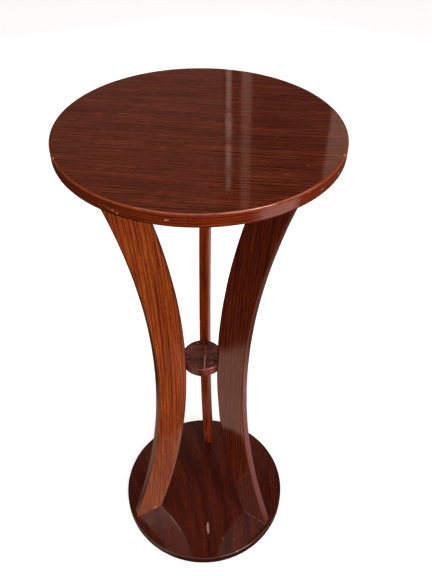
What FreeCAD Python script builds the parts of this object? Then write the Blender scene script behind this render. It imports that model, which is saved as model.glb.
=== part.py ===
"""Tall display stand: a round top and a round base joined by three bowed board legs and a waist disc.

Frame: +Z up, origin on the floor under the middle of the stand, millimetres.
The back leg stands on +Y, the left leg at 210 degrees and the right leg at 330 degrees.
"""
import FreeCAD, Part
import math
import os

Vector = FreeCAD.Vector
UP = Vector(0, 0, 1)
CENTRE = Vector(0, 0, 0)

# Overall sizes
overall_height = 716.0
top_diameter = 305.0
base_diameter = 274.0
panel_thickness = 15.0
panel_arris_radius = 2.0

# Top and base panels: a core board, a solid lipping round it and a veneer on each face
veneer_thickness = 0.6
lipping_width = 4.0

# Legs: flat boards cut to a bow between two arcs with one centre, outside the stand
leg_azimuths = {"leg_left": 210.0, "leg_right": 330.0, "leg_back": 90.0}
leg_width = 43.5
leg_thickness = 13.0
leg_waist_outer_radius = 71.5
leg_bow_radius = 1000.0
leg_arris_bevel = 1.0

# Waist disc: its rim has a flat seat for the inner edge of each leg
waist_disc_diameter = 57.0
waist_disc_height = overall_height / 2
waist_disc_arris_radius = 2.0

# Glued dowels, two in the top end of each leg and one in the inner edge at the waist disc
dowel_diameter = 6.0
dowel_chamfer = 0.6
top_dowel_length = 28.0
top_dowel_in_panel = 9.0
waist_dowel_length = 24.0

# Countersunk screws, two up through the base into the foot of each leg
fixing_pitch = 18.0
screw_length = 40.0
screw_diameter = 4.0
screw_tip_length = 5.0
screw_tip_diameter = 0.8
screw_head_diameter = 8.0
screw_head_land = 0.4
screw_head_recess = 0.3
drive_slot_length = 4.4
drive_slot_width = 0.9
drive_slot_depth = 1.6

# Felt pads under the base, midway between the legs
pad_diameter = 24.0
pad_thickness = 2.0
pad_circle_radius = 112.0
pad_arris_radius = 0.5

# Derived levels and radii
base_top = pad_thickness + panel_thickness
leg_top = overall_height - panel_thickness
leg_half_height = (leg_top - base_top) / 2
leg_middle = (leg_top + base_top) / 2
leg_waist_inner_radius = leg_waist_outer_radius - leg_width
margin = 5.0


def spun(shape, azimuth):
    """A copy of a shape turned about the stand's axis."""
    copy = shape.copy()
    copy.rotate(CENTRE, UP, azimuth)
    return copy


def cylinder(radius, bottom, top):
    return Part.makeCylinder(radius, top - bottom, Vector(0, 0, bottom))


def circular_edges(shape):
    return [edge for edge in shape.Edges if isinstance(edge.Curve, Part.Circle)]


def rounded_disc(radius, bottom, top, arris):
    disc = cylinder(radius, bottom, top)
    return disc.makeFillet(arris, circular_edges(disc))


def leg_edge_radius(waist_radius, bow_radius, height):
    """Distance from the stand's axis to an edge of a leg at a height."""
    return waist_radius + bow_radius - math.sqrt(bow_radius ** 2 - (height - leg_middle) ** 2)


def outer_edge(height):
    return leg_edge_radius(leg_waist_outer_radius, leg_bow_radius, height)


def inner_edge(height):
    return leg_edge_radius(leg_waist_inner_radius, leg_bow_radius + leg_width, height)


def fixing_radii():
    """The two fixings in each end of a leg sit evenly about the middle of that end."""
    middle = (outer_edge(leg_top) + inner_edge(leg_top)) / 2
    return (middle - fixing_pitch / 2, middle + fixing_pitch / 2)


def leg_board():
    """One leg with bevelled long arrises, in the XZ plane on the +X side.

    The bow is bevelled past both ends of the leg, then cut level at each end.
    """
    bow_centre = Vector(leg_waist_outer_radius + leg_bow_radius, 0, leg_middle)
    sweep = math.degrees(math.asin((leg_half_height + margin) / leg_bow_radius))
    corner = Vector(leg_waist_inner_radius, -leg_thickness / 2, leg_middle)
    section = Part.makePlane(leg_width, leg_thickness, corner)
    section.rotate(bow_centre, Vector(0, 1, 0), -sweep)
    bow = section.revolve(bow_centre, Vector(0, 1, 0), 2 * sweep)
    long_arrises = [edge for edge in bow.Edges if edge.Length > leg_half_height]
    bow = bow.makeChamfer(leg_arris_bevel, long_arrises)
    return bow.common(cylinder(top_diameter, base_top, leg_top))


def dowel(length):
    """A plain dowel with chamfered ends, standing on the origin."""
    pin = Part.makeCylinder(dowel_diameter / 2, length)
    return pin.makeChamfer(dowel_chamfer, circular_edges(pin))


def top_dowels():
    pins = []
    for azimuth in leg_azimuths.values():
        for radius in fixing_radii():
            pin = dowel(top_dowel_length)
            pin.translate(Vector(radius, 0, leg_top + top_dowel_in_panel - top_dowel_length))
            pins.append(spun(pin, azimuth))
    return pins


def waist_dowels():
    pins = []
    for azimuth in leg_azimuths.values():
        pin = dowel(waist_dowel_length)
        pin.rotate(CENTRE, Vector(0, 1, 0), 90)
        start = leg_waist_inner_radius - waist_dowel_length / 2
        pin.translate(Vector(start, 0, waist_disc_height))
        pins.append(spun(pin, azimuth))
    return pins


def screw_body():
    """A countersunk screw without its drive recess, head down on the origin, point up."""
    shank = screw_diameter / 2
    head = screw_head_diameter / 2
    profile = [
        Vector(0, 0, 0),
        Vector(head, 0, 0),
        Vector(head, 0, screw_head_land),
        Vector(shank, 0, screw_head_land + head - shank),
        Vector(shank, 0, screw_length - screw_tip_length),
        Vector(screw_tip_diameter / 2, 0, screw_length),
        Vector(0, 0, screw_length),
        Vector(0, 0, 0),
    ]
    return Part.Face(Part.makePolygon(profile)).revolve(CENTRE, UP, 360)


def drive_recess():
    """A cross-shaped driver recess in the underside of a screw head."""
    long_side = drive_slot_length
    short_side = drive_slot_width
    slot = Part.makeBox(long_side, short_side, drive_slot_depth, Vector(-long_side / 2, -short_side / 2, 0))
    return slot.fuse(spun(slot, 90))


def base_screw_places():
    places = []
    for azimuth in leg_azimuths.values():
        for radius in fixing_radii():
            offset = Vector(radius, 0, pad_thickness + screw_head_recess)
            turn = FreeCAD.Rotation(UP, azimuth)
            places.append(FreeCAD.Placement(turn.multVec(offset), turn))
    return places


def base_screws():
    screw = screw_body().cut(drive_recess())
    return [screw.transformed(place.toMatrix()) for place in base_screw_places()]


def base_screw_holes():
    """The screws' own shapes, with the head's hole carried on down through the underside."""
    opening = cylinder(screw_head_diameter / 2, -margin, 0)
    hole = screw_body().fuse(opening)
    return [hole.transformed(place.toMatrix()) for place in base_screw_places()]


def panel(name, diameter, bottom, holes):
    """The four layers of a round panel, cut for its fixings."""
    radius = diameter / 2
    top = bottom + panel_thickness
    core_bottom = bottom + veneer_thickness
    core_top = top - veneer_thickness
    whole = rounded_disc(radius, bottom, top, panel_arris_radius)
    core = cylinder(radius - lipping_width, core_bottom, core_top)
    middle = whole.common(cylinder(radius + margin, core_bottom, core_top))
    layers = {
        name + "_core": core,
        name + "_lipping": middle.cut(core),
        name + "_face_veneer": whole.common(cylinder(radius + margin, core_top, top + margin)),
        name + "_backing_veneer": whole.common(cylinder(radius + margin, bottom - margin, core_bottom)),
    }
    if holes:
        drilled = Part.makeCompound(holes)
        layers = {layer: shape.cut(drilled) for layer, shape in layers.items()}
    return layers


def waist_disc(pins):
    """A round disc of the panels' thickness, with a flat seat for each leg, bored for its dowels."""
    half = panel_thickness / 2
    low = waist_disc_height - half
    high = waist_disc_height + half
    disc = rounded_disc(waist_disc_diameter / 2, low, high, waist_disc_arris_radius)
    width = waist_disc_diameter
    corner = Vector(leg_waist_inner_radius, -width / 2, low - margin)
    beyond_seat = Part.makeBox(width, width, panel_thickness + 2 * margin, corner)
    for azimuth in leg_azimuths.values():
        disc = disc.cut(spun(beyond_seat, azimuth))
    return disc.cut(Part.makeCompound(pins))


def felt_pads():
    pads = []
    for azimuth in leg_azimuths.values():
        pad = rounded_disc(pad_diameter / 2, 0, pad_thickness, pad_arris_radius)
        pad.translate(Vector(-pad_circle_radius, 0, 0))
        pads.append(spun(pad, azimuth))
    return pads


def build():
    top_pins = top_dowels()
    waist_pins = waist_dowels()
    screw_holes = base_screw_holes()
    nodes = panel("top", top_diameter, leg_top, top_pins)
    nodes.update(panel("base", base_diameter, pad_thickness, screw_holes))
    leg_holes = Part.makeCompound(top_pins + waist_pins + screw_holes)
    board = leg_board()
    for name, azimuth in leg_azimuths.items():
        nodes[name] = spun(board, azimuth).cut(leg_holes)
    nodes["waist_disc"] = waist_disc(waist_pins)
    nodes["top_dowels"] = Part.makeCompound(top_pins)
    nodes["waist_dowels"] = Part.makeCompound(waist_pins)
    nodes["base_screws"] = Part.makeCompound(base_screws())
    nodes["felt_pads"] = Part.makeCompound(felt_pads())
    return nodes


def main():
    os.makedirs("parts", exist_ok=True)
    for name, shape in build().items():
        solids = shape.Solids
        node = solids[0] if len(solids) == 1 else Part.makeCompound(solids)
        node.exportStep("parts/" + name + ".step")
        print(name, len(solids), "solids", node.isValid(), round(node.Volume), "mm3")


main()
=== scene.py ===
"""Looks and studio for the round pedestal stand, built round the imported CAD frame. Metres, +Z up."""

import math
import random

import bpy
import numpy as np
from mathutils import Euler, Matrix, Vector

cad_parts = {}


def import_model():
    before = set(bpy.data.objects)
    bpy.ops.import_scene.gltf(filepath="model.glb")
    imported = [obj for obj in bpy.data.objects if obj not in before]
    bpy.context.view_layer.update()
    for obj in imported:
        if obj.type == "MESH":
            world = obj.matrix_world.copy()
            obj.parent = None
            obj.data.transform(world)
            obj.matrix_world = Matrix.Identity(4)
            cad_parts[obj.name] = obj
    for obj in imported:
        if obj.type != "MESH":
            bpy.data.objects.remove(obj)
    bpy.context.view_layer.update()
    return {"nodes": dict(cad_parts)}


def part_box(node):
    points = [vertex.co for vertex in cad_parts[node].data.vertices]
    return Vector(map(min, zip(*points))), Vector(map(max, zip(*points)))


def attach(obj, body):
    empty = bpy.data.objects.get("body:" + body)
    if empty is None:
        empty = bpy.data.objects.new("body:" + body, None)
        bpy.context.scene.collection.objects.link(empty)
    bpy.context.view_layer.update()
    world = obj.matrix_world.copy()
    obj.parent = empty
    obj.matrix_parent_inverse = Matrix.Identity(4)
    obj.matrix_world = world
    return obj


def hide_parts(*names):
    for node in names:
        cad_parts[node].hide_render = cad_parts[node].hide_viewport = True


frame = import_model()
nodes = frame["nodes"]
MM = 0.001
TURN = 2 * math.pi

# ---------------------------------------------------------------- sizes shared with the CAD
ARRIS = 2.0 * MM                # rounding of the panels' rims
DISC_ARRIS = 2.0 * MM
VENEER = 0.6 * MM
LIPPING = 4.0 * MM
DISC_RADIUS = 28.5 * MM
PAD_CIRCLE = 112 * MM
LEG_MIDDLE = 359 * MM           # level at which the legs come nearest to the axis
LEG_BOW_RADIUS = 1000 * MM      # of the outer edge
LEG_OUTER = 71.5 * MM           # waist radius of the outer edge
LEG_INNER = 28.0 * MM
LEG_AZIMUTH = {"leg_left": 210, "leg_right": 330, "leg_back": 90}
LEG_THICKNESS = 13 * MM

# ---------------------------------------------------------------- hand work, wear, stain, painted highlight and painted shade
# The edge attribute is wear above 0, partly a painted highlight, and below 0 dark stain and painted
# shade. The bare attribute is bare wood, 0 to 1, and a painted reflection on the waist disc.
SHARP_ANGLE = 42                # degrees between faces that shade as an edge
FACE_GAP = 0.8 * MM             # the lipping shows this far inside the rounding
RIM_SANDING = 0.06 * MM         # how far in the rims are sanded, on average
CROWN = 0.12 * MM               # swell of the sanded rims
ARRIS_SLOPES = np.radians([0, 9, 18, 30, 55, 65, 75, 90])       # from the rim up to the face
ARRIS_WEAR_AND_HIGHLIGHT = [0.0, 0.45, 0.8, 1.0, 1.0, 0.6, -0.2, -0.9]        # wear, partly a painted highlight, and darker next to the face
LOW_ARRIS_SHADE = 0.45                # painted shade: a rim's lower arris is darker
LOW_ARRIS_SHADE_REACH = 2.0 * MM
JOINT_WIDTH = 0.35 * MM         # half the groove where a lipping's two ends meet
JOINT_DEPTH = 0.12 * MM
JOINT_STAIN = 1.6
BRUISE_STEP = 0.3 * MM          # mesh spacing across a bruise or a dent
DENT_STEP = 0.4 * MM
LEG_ARRIS = 1.45 * MM           # rounding of the legs' long arrises
LEG_SANDING = 0.05 * MM
OUTER_STRIP_SHADE = 0.75              # painted shade: how much darker the outer edges of the legs are
INNER_STRIP_SHADE = {"leg_left": 1.3, "leg_right": 0.5, "leg_back": 0.35}     # and painted shade on the inner edges
FOOT_WORN_SIDE = {"leg_right": -1}      # the face whose lacquer is worn off along the foot
PLANK_OFFSET = (900, 61)        # each leg is cut this much further along and across the plank
GRAIN_TILT = (0.86, 0.5)        # the growth rings run slantwise through the legs

# ---------------------------------------------------------------- mesh density
RIM_COLUMNS = 720
FACE_COLUMNS = 360
DISC_COLUMNS = 360
PAD_COLUMNS = 120
LEG_LEVELS = 420
NEAREST_RIM_COLUMNS = 0.0003    # radians
NEAREST_FACE_COLUMNS = 0.002


# ---------------------------------------------------------------- mesh helpers
def smooth_noise(seed, period, amplitude):
    """A smooth repeatable function of one length, made of five sine waves of about that period."""
    draws = random.Random(seed)
    waves = [(TURN / (period * draws.uniform(0.5, 1.6)), draws.uniform(0, TURN)) for _ in range(5)]
    return lambda s: amplitude * sum(np.sin(k * s + phase) for k, phase in waves) / 5


def make_piece(name, points, faces, replaced, material, attributes):
    """A smooth-shaded mesh piece that rides with the stand and stands for CAD nodes."""
    mesh = bpy.data.meshes.new(name)
    mesh.from_pydata([tuple(p) for p in points], [], faces)
    mesh.validate()
    for key, values in attributes.items():
        values = np.concatenate(values).astype(np.float32)
        kind = "FLOAT_VECTOR" if values.ndim == 2 else "FLOAT"
        layer = mesh.attributes.new(key, kind, "POINT")
        layer.data.foreach_set("vector" if values.ndim == 2 else "value", values.ravel())
    mesh.shade_smooth()
    mesh.set_sharp_from_angle(angle=math.radians(SHARP_ANGLE))
    mesh.update()
    piece = bpy.data.objects.new(name, mesh)
    bpy.context.scene.collection.objects.link(piece)
    mesh.materials.append(material)
    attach(piece, "root")
    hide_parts(*replaced)
    return piece


def ring_faces(columns, rows, close_rows=False):
    """Quads of a grid of columns round the axis by rows along the profile."""
    faces = []
    for i in range(columns):
        j = (i + 1) % columns
        for k in range(rows if close_rows else rows - 1):
            m = (k + 1) % rows
            faces.append((i * rows + k, j * rows + k, j * rows + m, i * rows + m))
    return faces


def flipped(faces):
    """The same faces, looking the other way."""
    return [face[::-1] for face in faces]


def spaced(values, gap):
    """The values in order, without those closer than the gap to the one before."""
    kept = []
    for value in sorted(values):
        if not kept or value - kept[-1] >= gap:
            kept.append(float(value))
    return np.array(kept)


def around(azimuth, half, count):
    """Evenly spread angles on both sides of an azimuth."""
    return list((azimuth + np.linspace(-half, half, count)) % TURN)


def angle_between(a, b):
    return np.angle(np.exp(1j * (a - b)))


def step(value, low, high):
    """A smooth rise from 0 at low to 1 at high, which may be the smaller one."""
    t = np.clip((value - low) / (high - low), 0, 1)
    return t * t * (3 - 2 * t)


class Chip:
    """A small bruise in a rim: its azimuth in degrees, its level in metres, and its width, height
    and depth in millimetres."""

    def __init__(self, azimuth, level, width, tall, depth, seed):
        self.azimuth, self.level = math.radians(azimuth), level
        self.width, self.tall, self.depth = width * MM, tall * MM, depth * MM
        draws = random.Random(seed)
        self.lobes = [(n, draws.uniform(0.1, 0.28), draws.uniform(0, TURN)) for n in (2, 3, 5)]

    def cover(self, azimuth, level, radius):
        """1 in the middle of the chip, 0 outside it."""
        along = angle_between(azimuth, self.azimuth) * radius / (self.width / 2)
        up = (level - self.level) / (self.tall / 2)
        turn = np.arctan2(up, along)
        edge = 1 + sum(a * np.sin(n * turn + p) for n, a, p in self.lobes)
        return np.clip(1 - np.hypot(along, up) / edge, 0, 1)


class Mark:
    """A small dent in a flat face: its place, length, width, turn and depth, in millimetres and
    degrees, and how pale or dark it shows. A dark mark can also paint a reflection."""

    def __init__(self, x, y, length, width, turn, depth=0.05, pale=0.0, dark=0.0):
        self.x, self.y, self.length, self.width = x * MM, y * MM, length * MM, width * MM
        self.turn, self.depth, self.pale, self.dark = math.radians(turn), depth * MM, pale, dark

    def cover(self, x, y):
        """1 in the middle of the mark, 0 outside it."""
        c, s = math.cos(self.turn), math.sin(self.turn)
        u = ((x - self.x) * c + (y - self.y) * s) / (self.length / 2)
        v = ((y - self.y) * c - (x - self.x) * s) / (self.width / 2)
        return np.clip(1 - np.hypot(u, v), 0, 1)

    def reach(self):
        """A little over half the mark's size along and across the panel's radius."""
        azimuth = math.atan2(self.y, self.x)
        c, s = abs(math.cos(self.turn - azimuth)), abs(math.sin(self.turn - azimuth))
        return (0.6 * (self.length * c + self.width * s), 0.6 * (self.length * s + self.width * c))


# ---------------------------------------------------------------- the pieces' shapes
def rim_profile(radius, bottom, top, rounding, push):
    """A lipping's section as points (radius, level), from its hidden side round, and their wear, which
    also paints a highlight on the upper arris and shade on the lower one.

    rounding is the upper arris's radius here, and push is how far in the rim is sanded.
    """
    outer, inner, seam = radius - push, radius - LIPPING, radius - ARRIS - FACE_GAP
    profile = [(inner, bottom + VENEER), (inner, top - VENEER), (seam, top - VENEER), (seam, top)]
    wear_and_painted_light = [0, 0, 0, ARRIS_WEAR_AND_HIGHLIGHT[-1]]
    for t in np.linspace(0, 1, 11):
        turn = math.pi / 2 * (1 - t)
        profile.append((outer - rounding + rounding * math.cos(turn),
                        top - rounding + rounding * math.sin(turn)))
        wear_and_painted_light.append(float(np.interp(turn, ARRIS_SLOPES, ARRIS_WEAR_AND_HIGHLIGHT)))
    low_arc = bottom + ARRIS
    # painted shade: the rim darkens towards its lower arris, and more on the rounding below it
    for z in np.linspace(top - rounding, low_arc, 22)[1:]:
        profile.append((outer, z))
        wear_and_painted_light.append(-LOW_ARRIS_SHADE * step(z, low_arc + LOW_ARRIS_SHADE_REACH, low_arc))
    stop = math.asin(1 - VENEER / ARRIS)    # the backing veneer has the rest of the lower rounding
    for t in np.linspace(0, 1, 8)[1:]:
        back = push * t ** 2                # the sanding fades out where it meets that veneer
        profile.append((outer + back - ARRIS + ARRIS * math.cos(stop * t),
                        low_arc - ARRIS * math.sin(stop * t)))
        wear_and_painted_light.append(-LOW_ARRIS_SHADE - 0.35 * t)
    profile = np.array(profile)
    return profile[:, 0], profile[:, 1], np.array(wear_and_painted_light)


def panel_rim(name, radius, bottom, top, chips, seed, replaced, material, joint_azimuth):
    """The solid lipping round a panel: a rounded arris, uneven sanding, bruises and one joint."""
    joint = math.radians(joint_azimuth)
    angles = list(np.linspace(0, TURN, RIM_COLUMNS, endpoint=False))
    for chip in chips:
        angles += around(chip.azimuth, 0.75 * chip.width / radius, int(1.5 * chip.width / BRUISE_STEP))
    angles += around(joint, 0.4 * MM / radius, 9)
    angles = spaced(angles, NEAREST_RIM_COLUMNS)
    swell = smooth_noise(seed, 45 * MM, 0.06 * MM)
    fine = smooth_noise(seed + 1, 14 * MM, 0.035 * MM)
    round_off = smooth_noise(seed + 2, 80 * MM, 0.27 * MM)
    middle = (top + bottom) / 2
    points, bare_and_painted_streak, edge, grain = [], [], [], []
    for a in angles:
        s = a * radius
        push = max(0.0, RIM_SANDING + swell(s) + fine(s))
        r, z, wear_and_painted_light = rim_profile(radius, bottom, top, ARRIS + 0.05 * MM + round_off(s), push)
        shows = r > radius - ARRIS - 0.9 * FACE_GAP
        level = step(r, radius - ARRIS, radius - 0.3 * ARRIS) * step(z, bottom + VENEER, bottom + ARRIS)
        r = r - CROWN * ((z - middle) / (middle - bottom)) ** 2 * level
        raw = np.zeros(len(z))
        for chip in chips:
            inside = chip.cover(a, z, radius) * shows
            r -= chip.depth * np.sqrt(inside)
            raw = np.maximum(raw, step(inside, 0.06, 0.3))
        groove = max(0.0, 1 - abs(angle_between(a, joint)) * radius / JOINT_WIDTH)
        r[shows] -= JOINT_DEPTH * groove
        points.append(np.column_stack([r * math.cos(a), r * math.sin(a), z]))
        bare_and_painted_streak.append(raw)
        edge.append(wear_and_painted_light - JOINT_STAIN * shows * groove)
        grain.append(np.column_stack([np.full(len(z), s / MM), (z - bottom) / MM, (radius - r) / MM]))
    faces = flipped(ring_faces(len(angles), len(points[0]), close_rows=True))
    return make_piece(name, np.concatenate(points), faces, replaced, material,
                      {"bare_and_painted_streak": bare_and_painted_streak, "edge": edge, "grain": grain})


def panel_face(name, radius, top, marks, figure, shade, replaced, material):
    """The face veneer of a panel: a thin closed disc with small dents. shade darkens its right."""
    rim = radius - ARRIS - FACE_GAP
    radii = [1.5 * MM, *np.linspace(4 * MM, rim - 4 * MM, int(rim / (2.2 * MM))), rim - 1 * MM, rim]
    angles = list(np.linspace(0, TURN, FACE_COLUMNS, endpoint=False))
    for mark in marks:
        out, azimuth = math.hypot(mark.x, mark.y), math.atan2(mark.y, mark.x)
        tall, wide = mark.reach()
        near = np.linspace(out - tall, out + tall, int(tall / DENT_STEP))
        radii += list(near[near < rim - 1.2 * MM])
        angles += around(azimuth, wide / out, int(wide / BRUISE_STEP))
    radii, angles = spaced(radii, 0.05 * MM), spaced(angles, NEAREST_FACE_COLUMNS)
    a, r = np.meshgrid(angles, radii, indexing="ij")
    x, y = r * np.cos(a), r * np.sin(a)
    z = np.full_like(x, top)
    bare_and_painted_streak, tone = np.zeros_like(x), -shade * step(x, 0.0, 75 * MM)
    for mark in marks:
        inside = mark.cover(x, y)
        z -= mark.depth * np.sqrt(inside)
        bare_and_painted_streak = np.maximum(bare_and_painted_streak, step(inside, 0.1, 0.5) * mark.pale)
        # dark marks darken the face; on the base two of them are a painted reflection
        tone = np.minimum(tone, -step(inside, 0.1, 0.6) * mark.dark)
    columns, rows = len(angles), len(radii)
    upper = np.column_stack([x.ravel(), y.ravel(), z.ravel()])
    lower = np.column_stack([rim * np.cos(angles), rim * np.sin(angles),
                             np.full(columns, top - VENEER)])
    points = np.concatenate([upper, lower, [[0, 0, top]]])
    faces = flipped(ring_faces(columns, rows))
    under, centre = columns * rows, columns * rows + columns
    for i in range(columns):
        j = (i + 1) % columns
        faces.append((i * rows + rows - 1, under + i, under + j, j * rows + rows - 1))
        faces.append((i * rows, j * rows, centre))
    faces.append(tuple(under + i for i in reversed(range(columns))))
    along, across = figure(points[:, 0] / MM, points[:, 1] / MM)
    grain = np.column_stack([along, across, np.zeros(len(points))])
    plain = np.zeros(columns + 1)
    return make_piece(name, points, faces, replaced, material,
                      {"bare_and_painted_streak": [bare_and_painted_streak.ravel(), plain], "edge": [tone.ravel(), plain],
                       "grain": [grain]})


def leg_edges(z):
    """Radii of the inner and outer edge of a leg at a level."""
    rise = (z - LEG_MIDDLE) ** 2
    width = LEG_OUTER - LEG_INNER
    centre = LEG_OUTER + LEG_BOW_RADIUS
    return (centre - math.sqrt((LEG_BOW_RADIUS + width) ** 2 - rise),
            centre - math.sqrt(LEG_BOW_RADIUS ** 2 - rise))


def leg_section(r_in, r_out, t_low, t_high, arrises, stretch):
    """A level section of a leg: radii, offsets from the board's middle, and place on an arris.

    stretch is how much longer the lean of the leg makes the section than the board is wide.
    """
    corners = [(r_in, t_low, -1, -1, math.pi), (r_out, t_low, 1, -1, 1.5 * math.pi),
               (r_out, t_high, 1, 1, 0), (r_in, t_high, -1, 1, 0.5 * math.pi)]
    arcs = []
    for (r, t, out, side, start), arris in zip(corners, arrises):
        arcs.append([(r - out * arris * stretch + arris * stretch * math.cos(start + q),
                      t - side * arris + arris * math.sin(start + q),
                      math.sin(2 * q)) for q in np.linspace(0, math.pi / 2, 6)])
    section = []
    for k, arc in enumerate(arcs):
        section += arc
        (r0, t0, _), (r1, t1, _) = arc[-1], arcs[(k + 1) % 4][0]
        across_face = k % 2 == 0
        for q in np.linspace(0, 1, 15 if across_face else 5)[1:-1]:
            section.append((r0 * (1 - q) + r1 * q, t0 * (1 - q) + t1 * q, 0.0))
    return np.array(section).T


def leg_board(name, azimuth, number, chips, foot_side, material):
    """A bowed board leg as a stack of level rounded sections.

    foot_side is the side of the board with lacquer worn off along the foot, 1, -1 or 0 for none.
    Each chip is a level, radius, offset, size and depth.
    """
    low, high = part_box(name)
    levels = np.concatenate([low.z + np.arange(0, 4, 0.4) * MM,
                             np.linspace(low.z + 4.2 * MM, high.z, LEG_LEVELS)])
    foot_wear = smooth_noise(number + 300, 9 * MM, 2.0)
    waves = [smooth_noise(number * 10 + k, 60 * MM, 0.05 * MM) for k in range(4)]
    rounds = [smooth_noise(number * 10 + 4 + k, 90 * MM, 0.35 * MM) for k in range(4)]
    half = LEG_THICKNESS / 2
    cos, sin = math.cos(math.radians(azimuth)), math.sin(math.radians(azimuth))
    bow_middle = leg_edges(LEG_MIDDLE)[1]
    points, grain, edge, bare_and_painted_streak = [], [], [], []
    for z in levels:
        inner, outer = leg_edges(z)
        lean = math.asin(max(-1, min(1, (z - LEG_MIDDLE) / LEG_BOW_RADIUS)))
        stretch = 1 / math.cos(lean)
        sanded_in, sanded_out, sanded_low, sanded_high = [max(0.0, LEG_SANDING + w(z)) for w in waves]
        r_in, r_out = inner + sanded_in * stretch, outer - sanded_out * stretch
        arrises = [LEG_ARRIS + grow(z) for grow in rounds]
        clean_r, clean_t, on_arris = leg_section(r_in, r_out, -half + sanded_low, half - sanded_high,
                                                 arrises, stretch)
        r, t = clean_r, clean_t
        raw = np.zeros(len(r))
        if foot_side:
            seam = step(z, low.z + 2.9 * MM, low.z + 1.9 * MM) * (foot_side * t > 5.5 * MM)
            raw = seam * step(foot_wear(r), -0.8, 0.2) * 0.8
        for chip_z, chip_r, chip_t, size, depth in chips:
            far = np.sqrt(((z - chip_z) / (size * 1.7)) ** 2 + ((r - chip_r) / size) ** 2
                          + ((t - chip_t) / size) ** 2)
            inside = np.clip(1 - far, 0, 1)
            middle = (inner + outer) / 2
            away = np.hypot(middle - r, t) + 1e-9
            r, t = r + (middle - r) / away * inside * depth, t - t / away * inside * depth
            raw = np.maximum(raw, step(inside, 0.1, 0.5))
        points.append(np.column_stack([r * cos - t * sin, r * sin + t * cos, np.full(len(r), z)]))
        bare_and_painted_streak.append(raw)
        # the grain runs straight up the face, and follows the bow in the edges
        near_edge = np.maximum(step(clean_r, r_out - 1.5 * MM, r_out - 0.3 * MM),
                               step(clean_r, r_in + 1.5 * MM, r_in + 0.3 * MM))
        across = (clean_r - (0.35 + 0.65 * near_edge) * (outer - bow_middle)) / MM
        through = clean_t / MM
        along_plank, across_plank = PLANK_OFFSET
        major, minor = GRAIN_TILT
        grain.append(np.column_stack([np.full(len(r), z / MM + along_plank * number),
                                      across * major + through * minor + across_plank * number,
                                      through * major - across * minor]))
        # painted shade on the legs' outer and inner edge strips; wear on the arrises, partly a painted
        # highlight
        outer_strip = step(clean_r, r_out - 0.9 * MM, r_out - 0.2 * MM)
        inner_strip = step(clean_r, r_in + 2.2 * MM, r_in + 1.2 * MM)
        if name == "leg_back":
            inner_strip = inner_strip * step(clean_t, -0.5 * MM, 2.0 * MM)
        edge.append(on_arris * (1 - 0.8 * outer_strip) * (1 - inner_strip)
                    - OUTER_STRIP_SHADE * outer_strip - INNER_STRIP_SHADE[name] * inner_strip)
    rows, last = len(points[0]), len(levels) - 1
    faces = []
    for i in range(last):
        for k in range(rows):
            m = (k + 1) % rows
            faces.append((i * rows + k, i * rows + m, (i + 1) * rows + m, (i + 1) * rows + k))
    faces.append(tuple(reversed(range(rows))))
    faces.append(tuple(last * rows + k for k in range(rows)))
    return make_piece(name + "_board", np.concatenate(points), faces, [name], material,
                      {"bare_and_painted_streak": bare_and_painted_streak, "edge": edge, "grain": grain})


def disc_profile(low, high):
    """The waist disc's section as radii and levels, from the middle of its top to that below."""
    inner = DISC_RADIUS - DISC_ARRIS
    quarter = np.linspace(0, math.pi / 2, 9)[1:]
    profile = [(0.3 * MM, high)] + [(r, high) for r in np.linspace(2 * MM, inner, 32)]
    profile += [(inner + DISC_ARRIS * math.sin(q), high - DISC_ARRIS + DISC_ARRIS * math.cos(q))
                for q in quarter]
    profile += [(DISC_RADIUS, z) for z in np.linspace(high - DISC_ARRIS, low + DISC_ARRIS, 10)[1:]]
    profile += [(inner + DISC_ARRIS * math.cos(q), low + DISC_ARRIS - DISC_ARRIS * math.sin(q))
                for q in quarter]
    profile += [(r, low) for r in np.linspace(inner, 2 * MM, 12)[1:]] + [(0.3 * MM, low)]
    return np.array(profile).T


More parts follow.
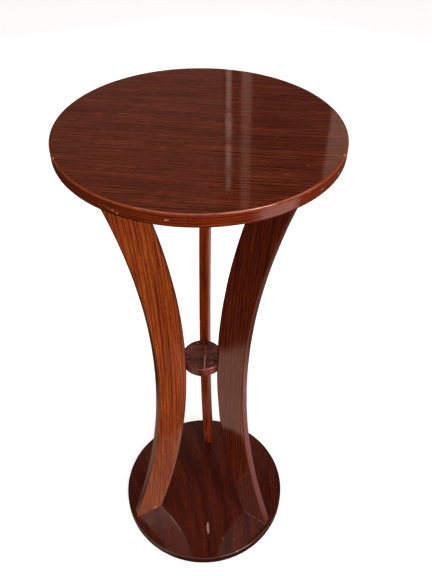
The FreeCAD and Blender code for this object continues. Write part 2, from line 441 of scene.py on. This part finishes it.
def waist(material):
    """The small disc that the legs are dowelled to, with a flat seat for each leg."""
    low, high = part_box("waist_disc")
    radii, z = disc_profile(low.z, high.z)
    angles = np.linspace(0, TURN, DISC_COLUMNS, endpoint=False)
    wobble = smooth_noise(71, 22 * MM, 0.08 * MM)
    from_face = (high.z - z) / MM
    rounding = step(radii, DISC_RADIUS - 3.2 * MM, DISC_RADIUS - 1.2 * MM)
    # wear on the disc's arris, partly a painted highlight
    arris_wear_and_highlight = step(from_face, 0.05, 0.5) * step(from_face, 2.2, 1.2) * rounding
    side = step(from_face, 1.4, 2.6) * step(radii, DISC_RADIUS - 2.5 * MM, DISC_RADIUS - 0.8 * MM)
    on_rim = step(radii, DISC_RADIUS - 2.5 * MM, DISC_RADIUS - 0.6 * MM)
    points, edge, grain, bare_and_painted_streak = [], [], [], []
    for a in angles:
        sanded = max(0.0, 0.08 * MM + wobble(a * DISC_RADIUS))
        r = radii - step(radii, DISC_RADIUS - 4 * MM, DISC_RADIUS) * sanded
        for azimuth in LEG_AZIMUTH.values():
            away = abs(angle_between(a, math.radians(azimuth)))
            if away < 0.5:
                r = np.minimum(r, LEG_INNER / math.cos(away))
        points.append(np.column_stack([r * math.cos(a), r * math.sin(a), z]))
        # painted light and shade on the rim: red at the front, dark on the rest of it
        painted_light_patch = math.exp(-((a - math.radians(295)) / 0.28) ** 2)
        edge.append(arris_wear_and_highlight + side * (1.7 * painted_light_patch - 1.0))
        x_mm, y_mm, z_mm = (points[-1] / MM).T
        grain.append(np.column_stack([2.6 * x_mm, y_mm + 0.7 * z_mm * on_rim, z_mm]))
        # a painted reflection: a pale streak from the back edge of the disc to the front, brighter
        # towards the front
        path = 4.4 - 0.5 * np.cos(y_mm / 14.0)
        scratch_and_painted_streak = step(np.abs(x_mm - path), 1.25, 0.45) * step(y_mm, 21.0, 12.0) * (from_face < 1)
        bare_and_painted_streak.append(scratch_and_painted_streak * (0.40 + 0.60 * step(y_mm, 8.0, -12.0)))
    rows = len(z)
    faces = flipped(ring_faces(DISC_COLUMNS, rows))
    faces.append(tuple(i * rows for i in range(DISC_COLUMNS)))
    faces.append(tuple(i * rows + rows - 1 for i in reversed(range(DISC_COLUMNS))))
    return make_piece("waist_disc_turned", np.concatenate(points), faces,
                      ["waist_disc"], material, {"bare_and_painted_streak": bare_and_painted_streak, "edge": edge, "grain": grain})


def pads(material):
    """Three pressed felt pads with soft rims, a little squashed."""
    low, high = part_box("felt_pads")
    radius, thick = 11.9 * MM, high.z - low.z
    flat = (0.04, 0.3, 0.6, 0.85, 0.93)
    profile = [(share * radius, 0.0) for share in flat]
    profile += [(radius * (0.965 + 0.035 * math.sin(q)), thick * (0.5 - 0.5 * math.cos(q)))
                for q in np.linspace(0.35, 2.8, 9)]
    profile += [(share * radius, thick) for share in reversed(flat)]
    rows = len(profile)
    points, faces = [], []
    for number, azimuth in enumerate(LEG_AZIMUTH.values()):
        turn = math.radians(azimuth + 180)
        shift = smooth_noise(80 + number, 9 * MM, 0.22 * MM)
        fuzz = random.Random(90 + number)
        start = len(points)
        for a in np.linspace(0, TURN, PAD_COLUMNS, endpoint=False):
            for r, z in profile:
                on_rim = 0.2 * MM < z < thick - 0.2 * MM
                out = r - step(r, 0.8 * radius, radius) * (0.25 * MM + shift(a * radius))
                out -= on_rim * fuzz.uniform(0, 0.10) * MM
                points.append((PAD_CIRCLE * math.cos(turn) + out * math.cos(a),
                               PAD_CIRCLE * math.sin(turn) + out * math.sin(a), low.z + z))
        ends = [tuple(i * rows for i in reversed(range(PAD_COLUMNS))),
                tuple(i * rows + rows - 1 for i in range(PAD_COLUMNS))]
        for face in ring_faces(PAD_COLUMNS, rows) + ends:
            faces.append(tuple(start + k for k in face))
    return make_piece("felt_pads_pressed", points, faces, ["felt_pads"], material, {})


# ---------------------------------------------------------------- material helpers
class Shader:
    """A short way to write the node tree of a material or a world."""

    def __init__(self, owner):
        self.owner = owner
        owner.use_nodes = True
        self.tree = owner.node_tree
        self.tree.nodes.clear()

    def node(self, kind, inputs=None, **settings):
        made = self.tree.nodes.new(kind)
        for key, value in settings.items():
            setattr(made, key, value)
        for key, value in (inputs or {}).items():
            if isinstance(value, bpy.types.NodeSocket):
                self.tree.links.new(value, made.inputs[key])
            else:
                made.inputs[key].default_value = value
        return made

    def math(self, operation, a, b=0.0, c=0.0, clamp=False):
        made = self.node("ShaderNodeMath", {0: a, 1: b, 2: c}, operation=operation, use_clamp=clamp)
        return made.outputs[0]

    def times(self, a, b, clamp=False):
        return self.math("MULTIPLY", a, b, clamp=clamp)

    def plus(self, a, b):
        return self.math("ADD", a, b)

    def spread(self, value, low, high, to_low=0.0, to_high=1.0, smooth=True):
        """The value's range from low to high, mapped to another range and held beyond it."""
        inputs = {"Value": value, "From Min": low, "From Max": high,
                  "To Min": to_low, "To Max": to_high}
        kind = "SMOOTHSTEP" if smooth else "LINEAR"
        return self.node("ShaderNodeMapRange", inputs, interpolation_type=kind).outputs[0]

    def attribute(self, name, vector=False):
        made = self.node("ShaderNodeAttribute", attribute_name=name)
        return made.outputs["Vector" if vector else "Fac"]

    def place(self):
        """The point's place on the object, in metres."""
        return self.node("ShaderNodeTexCoord").outputs["Object"]

    def split(self, vector):
        return self.node("ShaderNodeSeparateXYZ", {0: vector}).outputs

    def join(self, x, y, z):
        return self.node("ShaderNodeCombineXYZ", {0: x, 1: y, 2: z}).outputs[0]

    def noise(self, vector, scale=1.0, detail=2.0, roughness=0.5, distortion=0.0):
        inputs = {"Vector": vector, "Scale": scale, "Detail": detail, "Roughness": roughness,
                  "Distortion": distortion}
        return self.node("ShaderNodeTexNoise", inputs).outputs[0]

    def ramp(self, value, stops):
        made = self.node("ShaderNodeValToRGB", {0: value})
        line = made.color_ramp
        while len(line.elements) < len(stops):
            line.elements.new(0.5)
        for element, (place, colour) in zip(line.elements, stops):
            element.position = place
            element.color = (*colour, 1)
        return made.outputs[0]

    def mix(self, amount, a, b):
        """Colour a where the amount is 0, and b where it is 1."""
        made = self.node("ShaderNodeMix", data_type="RGBA")
        for socket, value in ((made.inputs[0], amount), (made.inputs[6], a), (made.inputs[7], b)):
            if isinstance(value, bpy.types.NodeSocket):
                self.tree.links.new(value, socket)
            else:
                socket.default_value = value if isinstance(value, float) else (*value, 1)
        return made.outputs[2]

    def bump(self, height, distance, strength=1.0, normal=None):
        inputs = {"Height": height, "Distance": distance, "Strength": strength}
        if normal is not None:
            inputs["Normal"] = normal
        return self.node("ShaderNodeBump", inputs).outputs[0]

    def surface(self, **sockets):
        """Finish with a principled surface. In its sockets' names an underscore is a space."""
        inputs = {key.replace("_", " "): value for key, value in sockets.items()}
        return self.finish(self.node("ShaderNodeBsdfPrincipled", inputs))

    def finish(self, shader, output="ShaderNodeOutputMaterial"):
        self.node(output, {"Surface": shader.outputs[0]})
        return self.owner


def new_shader(name):
    return Shader(bpy.data.materials.new(name))


# Sizes in the wood's figure in millimetres, along and across the grain
FLUTTER = (38.0, 6.0)           # small waves in the growth rings
TONE_DRIFT = (220.0, 17.0)
FLECK = (13.0, 3.2)
FLECK_CROWD = (60.0, 32.0)
GRIT = (5.0, 2.5)               # breaks up worn and bare places
HAZE = (34.0, 30.0)             # drifts in the lacquer's gloss
ORANGE_PEEL = (11.0, 11.0)      # ripples in the lacquer
SWAY_WIDTH = 26.0               # slow wandering of the rings
UNEVEN_LENGTH = 900.0           # unequal widths of the rings
PORE_SHAPE = (4.5, 0.75)        # in fibre widths
FIBRE_SHAPE = (30.0, 1.0)
PEEL_HEIGHT = 0.000012          # metres
PORE_DEPTH = 0.0000035
LACQUER_IOR = 1.5
BARE_ROUGHNESS = 0.55
BARE_PALE, BARE_DARK = (0.55, 0.33, 0.24), (0.26, 0.10, 0.055)


def wood(name, light, body, dark, line, spacing=5.0, line_depth=0.75, pores=0.6, warp=1.6, long=160.0,
         run=70.0, fibre_width=1.1, flecks=0.0, gloss=0.055, specular=0.5, tint=(1, 1, 1), streak=0.5,
         worn_and_highlight=(0.42, 0.17, 0.07), wear_and_painted_light=0.6, local=True):
    """Stained wood under gloss lacquer. Five things make the figure: dark porous lines at the ring
    spacing, which keep one strength for about a run, short pores that crowd in those lines, fibre
    streaks, pale flecks and slow drifts of tone.

    A local wood has grain, edge and bare attributes. The grain is (along, across, depth) in
    millimetres. Other woods take them from the place on the object, and show no wear. The edge and bare
    attributes carry painted highlight, shade and reflection as well as wear and bare wood.
    """
    s = new_shader(name)
    if local:
        along, across, depth = s.split(s.attribute("grain", vector=True))
    else:
        in_millimetres = s.node("ShaderNodeVectorMath", {0: s.place(), 3: 1000.0}, operation="SCALE")
        along, across, depth = s.split(in_millimetres.outputs[0])

    def noise(length, width, layer=None, detail=1.0, roughness=0.5):
        """Noise drawn out along the grain, through the board or in one flat layer of it."""
        third = s.math("DIVIDE", depth, width) if layer is None else layer
        place = s.join(s.math("DIVIDE", along, length), s.math("DIVIDE", across, width), third)
        return s.noise(place, detail=detail, roughness=roughness)

    # growth rings: a wandering phase, unequal widths, and a strength of its own for each ring
    sway = s.times(s.math("SUBTRACT", noise(long, SWAY_WIDTH, detail=2.0), 0.5), warp * spacing)
    flutter = s.math("SUBTRACT", noise(*FLUTTER, layer=3.0, detail=2.0), 0.5)
    sway = s.plus(sway, s.times(flutter, 0.35 * spacing))
    ring = s.math("DIVIDE", s.plus(across, sway), spacing)
    uneven = s.noise(s.join(s.math("DIVIDE", along, UNEVEN_LENGTH), s.times(ring, 0.55), 7.0),
                     detail=1.0)
    ring = s.plus(ring, s.times(uneven, 1.5))
    phase = s.math("FRACT", ring)
    early = s.times(s.spread(phase, 0.0, 0.14), s.spread(phase, 0.62, 0.2))
    strength = s.noise(s.join(s.math("DIVIDE", along, run), s.math("FLOOR", ring), 11.0), detail=1.0)
    early = s.times(early, s.spread(strength, 0.3, 0.62, 0.35, 1.0))
    # pores: short dark dashes along the grain
    pore = s.spread(noise(*(share * fibre_width for share in PORE_SHAPE)), 0.52, 0.63)
    pore_line = s.times(pore, s.math("MULTIPLY_ADD", early, 0.65, 0.35))
    fibre = noise(*(share * fibre_width for share in FIBRE_SHAPE), detail=2.0)
    tone = noise(*TONE_DRIFT, layer=5.0, detail=2.0)
    base = s.mix(s.spread(fibre, 0.36, 0.64), body, light)
    base = s.mix(s.times(s.spread(tone, 0.35, 0.7), streak), base, dark)
    if flecks:
        crowd = s.spread(noise(*FLECK_CROWD, layer=9.0), 0.42, 0.62, 0.15, 1.0)
        fleck = s.times(s.spread(noise(*FLECK), 0.56, 0.70), crowd)
        base = s.mix(s.times(fleck, flecks), base, tuple(1.5 * v for v in light))
    base = s.mix(s.times(early, line_depth * 0.62), base, line)
    base = s.mix(s.times(pore_line, pores), base, line)
    rough = s.spread(noise(*HAZE, detail=4.0, roughness=0.6), 0.35, 0.75, gloss, gloss * 2.1)
    if local:
        # the lacquer is thin and pale along worn edges, partly as a painted highlight, and bruises show
        # bare wood, which on the waist disc also paints a reflection
        edge, bare_and_painted_streak, grit = s.attribute("edge"), s.attribute("bare_and_painted_streak"), noise(*GRIT, detail=3.0)
        thin_lacquer_and_highlight = s.times(s.spread(edge, 0.25, 1.0), s.spread(grit, 0.3, 0.6, 0.45, 1.0))
        base = s.mix(s.times(thin_lacquer_and_highlight, wear_and_painted_light, clamp=True), base, worn_and_highlight)
        # dark stain and painted shade where the edge attribute is below 0
        base = s.mix(s.times(s.spread(edge, -0.1, -1.2), 0.8), base, line)
        base = s.mix(bare_and_painted_streak, base, s.mix(s.spread(grit, 0.35, 0.65), BARE_PALE, BARE_DARK))
        rough = s.math("MAXIMUM", rough, s.times(bare_and_painted_streak, BARE_ROUGHNESS))
    normal = s.bump(noise(*ORANGE_PEEL), PEEL_HEIGHT)
    normal = s.bump(s.times(pore_line, -1.0), PORE_DEPTH, normal=normal)
    return s.surface(Base_Color=base, Roughness=rough, Normal=normal, IOR=LACQUER_IOR,
                     Specular_IOR_Level=specular, Specular_Tint=(*tint, 1))


WARM_SHEEN = (1.0, 0.86, 0.78)

face_wood = wood(
    "face_veneer_lacquered", light=(0.235, 0.0425, 0.0160), body=(0.118, 0.0180, 0.0064),
    dark=(0.070, 0.0096, 0.0040), line=(0.022, 0.0034, 0.0018), spacing=3.3, line_depth=1.45,
    pores=0.75, warp=0.8, long=190, run=110, fibre_width=1.7, flecks=0.5, gloss=0.035,
    tint=WARM_SHEEN, streak=0.5)
base_wood = wood(
    "base_veneer_lacquered", light=(0.128, 0.0200, 0.0085), body=(0.080, 0.0108, 0.0044),
    dark=(0.040, 0.0048, 0.0028), line=(0.020, 0.0027, 0.0015), spacing=4.2, line_depth=0.60,
    pores=0.6, warp=2.6, long=50, run=9, fibre_width=1.7, flecks=0.30, gloss=0.04,
    tint=WARM_SHEEN, streak=0.8)
rim_wood = wood(
    "lipping_lacquered", light=(0.31, 0.043, 0.0070), body=(0.200, 0.0245, 0.0040),
    dark=(0.110, 0.0120, 0.0028), line=(0.035, 0.0042, 0.0016), spacing=3.1, line_depth=1.35,
    pores=0.7, warp=0.9, long=260, run=38, fibre_width=1.4, flecks=0.3, gloss=0.06,
    tint=WARM_SHEEN, streak=0.45, worn_and_highlight=(0.42, 0.088, 0.022), wear_and_painted_light=0.55)
# the base's lipping is a much darker copy of the top's: painted shade
base_rim_shaded_wood = wood(
    "base_lipping_painted_shade_lacquered", light=(0.062, 0.0090, 0.0034), body=(0.040, 0.0054, 0.0022),
    dark=(0.026, 0.0034, 0.0016), line=(0.016, 0.0022, 0.0012), spacing=3.6, line_depth=0.8,
    pores=0.5, warp=0.5, long=420, run=50, fibre_width=1.5, gloss=0.05,
    tint=WARM_SHEEN, streak=0.45, worn_and_highlight=(0.15, 0.030, 0.012), wear_and_painted_light=0.45)
waist_wood = wood(
    "waist_lacquered", light=(0.330, 0.078, 0.050), body=(0.110, 0.0225, 0.0150),
    dark=(0.036, 0.0062, 0.0046), line=(0.016, 0.0028, 0.0020), spacing=4.2, line_depth=0.7,
    pores=0.8, warp=2.4, long=26, run=9, fibre_width=1.9, flecks=0.9, gloss=0.06,
    tint=WARM_SHEEN, streak=0.8, worn_and_highlight=(0.30, 0.030, 0.010), wear_and_painted_light=0.9)
backing_wood = wood(
    "backing_veneer_sealed", light=(0.17, 0.036, 0.013), body=(0.125, 0.024, 0.009),
    dark=(0.08, 0.014, 0.005), line=(0.04, 0.007, 0.003), spacing=5.0, line_depth=0.5,
    pores=0.5, warp=1.4, long=170, gloss=0.22, specular=0.35, local=False)
core_wood = wood(
    "core_board", light=(0.42, 0.28, 0.16), body=(0.34, 0.21, 0.115), dark=(0.27, 0.16, 0.085),
    line=(0.18, 0.10, 0.05), spacing=3.0, line_depth=0.3, pores=0.3, gloss=0.4, specular=0.2,
    local=False)
dowel_wood = wood(
    "dowel_beech", light=(0.60, 0.42, 0.25), body=(0.52, 0.35, 0.20), dark=(0.44, 0.28, 0.15),
    line=(0.33, 0.19, 0.10), spacing=1.6, line_depth=0.3, pores=0.4, gloss=0.35, specular=0.25,
    local=False)

LEG_TONES = {"light": (0.42, 0.083, 0.0140), "body": (0.265, 0.040, 0.0065),
             "dark": (0.180, 0.0225, 0.0045), "line": (0.060, 0.0070, 0.0022),
             "worn_and_highlight": (0.34, 0.067, 0.018)}


def leg_wood(name, shade):
    """The legs' wood, one copy per board: the darker copy is painted shade, and another copy is redder.
    """
    tones = {key: tuple(v * k for v, k in zip(value, shade)) for key, value in LEG_TONES.items()}
    return wood(name, spacing=4.1, line_depth=1.2, pores=0.6, warp=0.8, long=260, run=90,
                fibre_width=1.5, flecks=0.25, gloss=0.06, tint=WARM_SHEEN, streak=0.4, wear_and_painted_light=0.35,
                **tones)


LEG_WOODS = {"leg_left": leg_wood("leg_board_lacquered", (1, 1, 1)),
             # the right leg's darker copy is painted shade
             "leg_right": leg_wood("leg_board_painted_shade_lacquered", (0.45, 0.31, 0.38)),
             "leg_back": leg_wood("leg_board_red_lacquered", (1.18, 0.86, 0.80))}


def zinc():
    s = new_shader("zinc_plate")
    place = s.place()
    cloud = s.noise(place, 900.0, 4.0, 0.6)
    scratch_and_painted_streak = s.noise(place, 5200.0, 2.0, 0.5)
    colour = s.mix(s.spread(cloud, 0.35, 0.65), (0.50, 0.50, 0.49), (0.66, 0.65, 0.62))
    return s.surface(Base_Color=colour, Metallic=1.0, Roughness=s.spread(cloud, 0.3, 0.7, 0.26, 0.46),
                     Normal=s.bump(scratch_and_painted_streak, 0.00001, 0.6))


def felt():
    s = new_shader("felt_brown")
    place = s.place()
    fibres = s.noise(place, 2600.0, 4.0, 0.7, 1.5)
    tufts = s.noise(place, 420.0, 3.0, 0.6)
    colour = s.mix(s.spread(fibres, 0.3, 0.7), (0.050, 0.036, 0.030), (0.115, 0.085, 0.070))
    colour = s.mix(s.times(s.spread(tufts, 0.4, 0.7), 0.5), colour, (0.035, 0.025, 0.021))
    return s.surface(Base_Color=colour, Roughness=s.spread(tufts, 0.3, 0.7, 0.85, 1.0),
                     Sheen_Weight=0.3, Specular_IOR_Level=0.15, Normal=s.bump(fibres, 0.0002, 0.7))


# ---------------------------------------------------------------- the stand
def straight(x, y):
    """Figure of the top's veneer: plain straight grain along X."""
    return x, y + 4.0 * np.sin(x / 95.0 + 0.4) + 0.01 * x


def slanted(x, y):
    """Figure of the base's veneer: a feather, whose strokes lean more and more to the left."""
    lean = 0.30 - 0.0024 * x
    ripple = 1.6 * np.sin(y / 17.0 + x / 19.0) + 0.7 * np.sin(y / 7.3 - x / 14.0 + 1.1)
    return y - 0.3 * x, x + lean * y + ripple


def chips_below(face, rows, first_seed):
    """Chips from rows of azimuth, millimetres below the face, width, height and depth."""
    return [Chip(azimuth, face - below * MM, width, tall, depth, seed)
            for seed, (azimuth, below, width, tall, depth) in enumerate(rows, first_seed)]


# One row each: azimuth in degrees, then below the face, width, height and depth in millimetres
TOP_CHIPS = [(-115.2, 9.9, 5.0, 2.6, 0.5), (-113.6, 11.2, 3.0, 2.0, 0.5), (-117.0, 9.0, 2.2, 1.8, 0.4),
             (-96.0, 7.8, 6.5, 1.6, 0.35), (-37.5, 8.3, 3.2, 2.0, 0.4), (-25.3, 7.4, 3.6, 2.2, 0.4),
             (-16.9, 0.7, 4.0, 2.2, 0.35), (-152.4, 0.6, 3.4, 2.0, 0.35), (41.0, 8.0, 3.0, 2.0, 0.4),
             (128.0, 1.2, 3.6, 1.8, 0.3)]
BASE_CHIPS = [(-62.0, 0.8, 4.0, 2.0, 0.35), (-140.0, 8.0, 4.5, 2.4, 0.4), (75.0, 1.0, 3.5, 2.0, 0.35)]
TOP_MARKS = [Mark(-94.0, -30.5, 3.4, 2.4, 10, pale=0.30), Mark(-32.4, -41.3, 4.5, 2.6, 70, pale=0.16),
             Mark(16.0, -61.1, 4.0, 2.2, 20, pale=0.22), Mark(79.2, -13.0, 3.6, 2.4, 0, pale=0.22),
             Mark(108.1, -65.4, 5.0, 2.6, 15, pale=0.20), Mark(25.1, -66.9, 8.0, 3.0, 0, dark=0.9),
             Mark(-84.0, -45.7, 6.0, 3.2, 80, dark=0.6)]
# on the base, the two long dark marks are a painted reflection of the back leg; the long pale mark
# between them is a pale streak in a shallow dent
BASE_MARKS = [Mark(12.6, -83.0, 28.0, 5.6, -83, depth=0.10, pale=1.0),
              Mark(8.0, -58.0, 30.0, 2.6, -80, dark=1.0), Mark(16.5, -112.0, 26.0, 2.6, -80, dark=1.0),
              Mark(39.1, -100.4, 5.0, 2.4, -40, pale=0.35), Mark(58.7, -99.7, 5.5, 2.4, -20, pale=0.30)]
# One row each: level, radius, offset from the board's middle, size and depth
LEG_CHIPS = {"leg_left": [(20 * MM, 98 * MM, 6.5 * MM, 4.2 * MM, 0.4 * MM)],
             "leg_right": [(300 * MM, 73 * MM, 6.0 * MM, 1.8 * MM, 0.3 * MM)],
             "leg_back": [(402 * MM, 29 * MM, 6.0 * MM, 1.6 * MM, 0.3 * MM)]}

top_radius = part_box("top_lipping")[1].x
top_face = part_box("top_face_veneer")[1].z
top_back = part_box("top_backing_veneer")[0].z
panel_rim("top_rim", top_radius, top_back, top_face, chips_below(top_face, TOP_CHIPS, 3), 5,
          ["top_lipping"], rim_wood, joint_azimuth=-88.9)
panel_face("top_face", top_radius, top_face, TOP_MARKS, straight, 0.28,
           ["top_face_veneer"], face_wood)

base_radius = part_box("base_lipping")[1].x
base_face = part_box("base_face_veneer")[1].z
base_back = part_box("base_backing_veneer")[0].z
panel_rim("base_rim", base_radius, base_back, base_face, chips_below(base_face, BASE_CHIPS, 13), 17,
          ["base_lipping"], base_rim_shaded_wood, joint_azimuth=20.0)
panel_face("base_face", base_radius, base_face, BASE_MARKS, slanted, 0.0,
           ["base_face_veneer"], base_wood)

for number, (name, azimuth) in enumerate(LEG_AZIMUTH.items(), 1):
    leg_board(name, azimuth, number, LEG_CHIPS[name], FOOT_WORN_SIDE.get(name, 0), LEG_WOODS[name])
waist(waist_wood)
pads(felt())

finishes = {"top_core": core_wood, "base_core": core_wood, "top_backing_veneer": backing_wood,
            "base_backing_veneer": backing_wood, "top_dowels": dowel_wood, "waist_dowels": dowel_wood,
            "base_screws": zinc()}
for name, material in finishes.items():
    for slot in nodes[name].material_slots:
        slot.material = material

# ---------------------------------------------------------------- studio
scene = bpy.context.scene
scene.view_settings.view_transform = "Standard"

FLOOR_HALF = 9.0
FLOOR_PALE, FLOOR_PALER = (0.94, 0.94, 0.94), (0.96, 0.96, 0.96)
FLOOR_LIFT = 0.58               # glow that makes the floor as pale as a studio sweep
FLOOR_BOUNCE = (0.20, 0.18, 0.17)       # its colour to the light that it throws back up
FLOOR_MIRRORED = (0.05, 0.045, 0.04)    # and in the stand's gloss, outside the pools of light
KEY_WHITE, GLINT_WHITE, SOFT_WHITE = (1.0, 0.985, 0.97), (1.0, 0.95, 0.92), (1.0, 0.97, 0.95)
STRIP_PINK = (1.0, 0.68, 0.55)


def floor():
    """Pale floor. In the stand's gloss it reads as a dim floor with pools of warm light: one at the
    front left, one at the right, a dim one at the far left, a pale one far off at the front right,
    and a faint band behind."""
    mesh = bpy.data.meshes.new("floor")
    half = FLOOR_HALF
    mesh.from_pydata([(-half, -half, 0), (half, -half, 0), (half, half, 0), (-half, half, 0)], [],
                     [(0, 1, 2, 3)])
    made = bpy.data.objects.new("floor", mesh)
    scene.collection.objects.link(made)
    s = new_shader("floor_pale")
    path = s.node("ShaderNodeLightPath").outputs
    seen, mirrored = path["Is Camera Ray"], path["Is Glossy Ray"]
    place = s.place()
    x, y, _ = s.split(place)
    tone = s.mix(s.spread(s.noise(place, 3.0, 3.0), 0.3, 0.7), FLOOR_PALE, FLOOR_PALER)
    soft = s.node("ShaderNodeBsdfDiffuse", {"Color": s.mix(seen, FLOOR_BOUNCE, tone)})
    dim = s.node("ShaderNodeBsdfDiffuse", {"Color": (*FLOOR_MIRRORED, 1)})

    def pool(cx, cy, inner, outer):
        away = s.node("ShaderNodeVectorMath", {0: place, 1: (cx, cy, 0)}, operation="DISTANCE")
        return s.spread(away.outputs["Value"], outer, inner)

    from_axis = s.node("ShaderNodeVectorMath", {0: place}, operation="LENGTH").outputs["Value"]
    clear_of_base = s.spread(from_axis, 0.138, 0.148)
    left_pool = s.times(pool(-0.16, -0.19, 0.11, 0.145), clear_of_base)
    right_pool = s.times(pool(0.34, -0.05, 0.14, 0.26), clear_of_base)
    far_left_pool = s.times(pool(-0.18, 0.07, 0.08, 0.13), s.spread(from_axis, 0.143, 0.158))
    pale_pool = pool(1.09, -0.56, 0.22, 0.46)
    behind = s.times(s.spread(x, -0.06, 0.02), s.spread(x, 0.45, 0.25, 0.06, 0.32))
    behind = s.times(s.spread(y, 0.12, 0.4), behind)
    warm = s.mix(s.math("MAXIMUM", left_pool, behind), (0.0, 0.0, 0.0), (0.95, 0.58, 0.45))
    warm = s.mix(right_pool, warm, (1.05, 0.46, 0.46))
    warm = s.mix(far_left_pool, warm, (0.38, 0.26, 0.21))
    warm = s.mix(pale_pool, warm, (1.75, 1.50, 1.50))
    reflected = s.node("ShaderNodeEmission", {"Color": warm, "Strength": mirrored})
    lift = s.node("ShaderNodeEmission", {"Color": (1, 1, 1, 1), "Strength": s.times(seen, FLOOR_LIFT)})
    glow = s.node("ShaderNodeAddShader", {0: reflected.outputs[0], 1: lift.outputs[0]})
    matt = s.node("ShaderNodeMixShader", {0: mirrored, 1: soft.outputs[0], 2: dim.outputs[0]})
    both = s.node("ShaderNodeAddShader", {0: glow.outputs[0], 1: matt.outputs[0]})
    mesh.materials.append(s.finish(both))


def area_light(name, place, aim, width, height, level, colour):
    """A rectangular light of that size and surface brightness."""
    data = bpy.data.lights.new(name, "AREA")
    data.shape, data.size, data.size_y = "RECTANGLE", width, height
    data.energy, data.color = level * math.pi * width * height, colour
    lamp = bpy.data.objects.new(name, data)
    scene.collection.objects.link(lamp)
    lamp.location = place
    lamp.rotation_euler = (Vector(aim) - Vector(place)).to_track_quat("-Z", "Y").to_euler()
    lamp.visible_camera = False
    return lamp


def ring_light(name, azimuth, far, z, width, height, level, colour):
    """A light on a circle round the stand, that many degrees to the right of its front."""
    turn = math.radians(azimuth)
    place = (far * math.sin(turn), -far * math.cos(turn), z)
    return area_light(name, place, (0, 0, 0.7), width, height, level, colour)


def key_lights():
    """Two tall softboxes to the right, from the floor up, so that they light the legs under the
    top: one slim and bright, one wide and weak. Higher up, three panels only glint in the lacquer.
    """
    for name, azimuth, width, level in (("key_softbox", 46, 0.45, 11.0),
                                        ("side_softbox", 22, 0.90, 1.7)):
        lamp = ring_light(name, azimuth, 2.1, 0.9, width, 1.7, level, KEY_WHITE)
        lamp.visible_glossy = False
    for name, azimuth, width, level in (("glint_wide", 40, 1.20, 5.5),
                                        ("glint_slim", 57, 0.50, 17.0),
                                        ("glint_side", 88, 1.30, 2.2)):
        lamp = ring_light(name, azimuth, 2.4, 2.75, width, 2.1, level, GLINT_WHITE)
        lamp.visible_diffuse = False


def fill_light():
    """A wide weak light overhead, a little in front."""
    area_light("fill_softbox", (-0.1, -0.9, 2.7), (0, 0, 0.6), 2.4, 1.6, 1.7, SOFT_WHITE)


def back_light():
    """Two low lights behind, under the level of the top, so that the back of the stand isn't
    black. They make no glare."""
    for name, x in (("back_softbox_left", -1.1), ("back_softbox_right", 1.1)):
        lamp = area_light(name, (x, 2.1, 0.35), (0, 0, 0.35), 1.0, 0.6, 2.6, SOFT_WHITE)
        lamp.visible_glossy = False


def back_panels():
    """Dim panels behind the stand, which its glossy top mirrors: a wall, two slim strips and a pale
    panel. The first strip is broken in three places, and both strips lean to the right."""
    far = 2.6
    foot, head = 1.55, 2.85
    panels = [("wall_left", -1.30, -0.104, foot, head, 0.0, 0.13, (1.0, 0.55, 0.42)),
              ("strip_a_low", -0.0900, -0.0630, foot, 1.965, 0.015, 0.80, STRIP_PINK),
              ("strip_a_second", -0.0925, -0.0605, 1.985, 2.150, 0.015, 1.05, STRIP_PINK),
              ("strip_a_third", -0.0915, -0.0615, 2.180, 2.350, 0.015, 1.10, STRIP_PINK),
              ("strip_a_high", -0.0905, -0.0625, 2.375, 2.490, 0.015, 1.00, STRIP_PINK),
              ("strip_b", -0.010, 0.045, foot, head, 0.025, 0.44, (1.0, 0.58, 0.46)),
              ("panel_right", 0.500, 1.3, foot, head, 0.0, 0.72, (1.0, 0.60, 0.47))]
    for name, left, right, low, high, lean, level, colour in panels:
        z = (low + high) / 2
        x = (left + right) / 2 + lean * (z - foot)
        lamp = area_light(name, (x, far, z), (x, 0, z), right - left, high - low, level, colour)
        lamp.rotation_euler.rotate(Euler((0, math.atan(lean), 0)))
        lamp.visible_diffuse = False


def world():
    """A grey room: dim behind the stand, paler near the horizon and overhead. The camera sees it
    as plain pale air."""
    made = bpy.data.worlds.new("studio_air")
    scene.world = made
    s = Shader(made)
    _, ahead, up = s.split(s.node("ShaderNodeTexCoord").outputs["Generated"])
    room = s.ramp(s.spread(up, -0.2, 1.0, smooth=False),
                  [(0.0, (0.26, 0.25, 0.24)), (0.17, (0.36, 0.34, 0.33)), (0.42, (0.24, 0.23, 0.22)),
                   (0.62, (0.20, 0.19, 0.185)), (0.82, (0.42, 0.41, 0.40)), (1.0, (0.85, 0.83, 0.81))])
    wall = s.ramp(up, [(0.0, (0.30, 0.28, 0.27)), (0.36, (0.06, 0.05, 0.045)),
                       (0.62, (0.045, 0.036, 0.033)), (0.70, (0.34, 0.28, 0.26)),
                       (0.80, (0.34, 0.28, 0.26)), (0.86, (0.06, 0.055, 0.05))])
    colour = s.mix(s.spread(ahead, 0.05, 0.42), room, wall)
    seen = s.node("ShaderNodeLightPath").outputs["Is Camera Ray"]
    colour = s.mix(seen, colour, (0.97, 0.97, 0.97))
    air = s.node("ShaderNodeBackground", {"Color": colour, "Strength": 1.0})
    s.finish(air, output="ShaderNodeOutputWorld")


def camera():
    """A camera a little above the top and in front, looking down at the stand."""
    data = bpy.data.cameras.new("camera")
    data.lens, data.sensor_width, data.sensor_fit = 38.02, 36.0, "AUTO"
    data.clip_start, data.clip_end = 0.05, 60.0
    made = bpy.data.objects.new("camera", data)
    scene.collection.objects.link(made)
    forward = Vector((-0.04310, 0.73737, -0.67412)).normalized()
    right = forward.cross(Vector((-0.04679, 0.67251, 0.73861))).normalized()
    turn = Matrix((right, right.cross(forward), -forward)).transposed()
    made.matrix_world = Matrix.Translation((0.05171, -0.57112, 1.01613)) @ turn.to_4x4()
    scene.camera = made


floor()
key_lights()
fill_light()
back_light()
back_panels()
world()
camera()
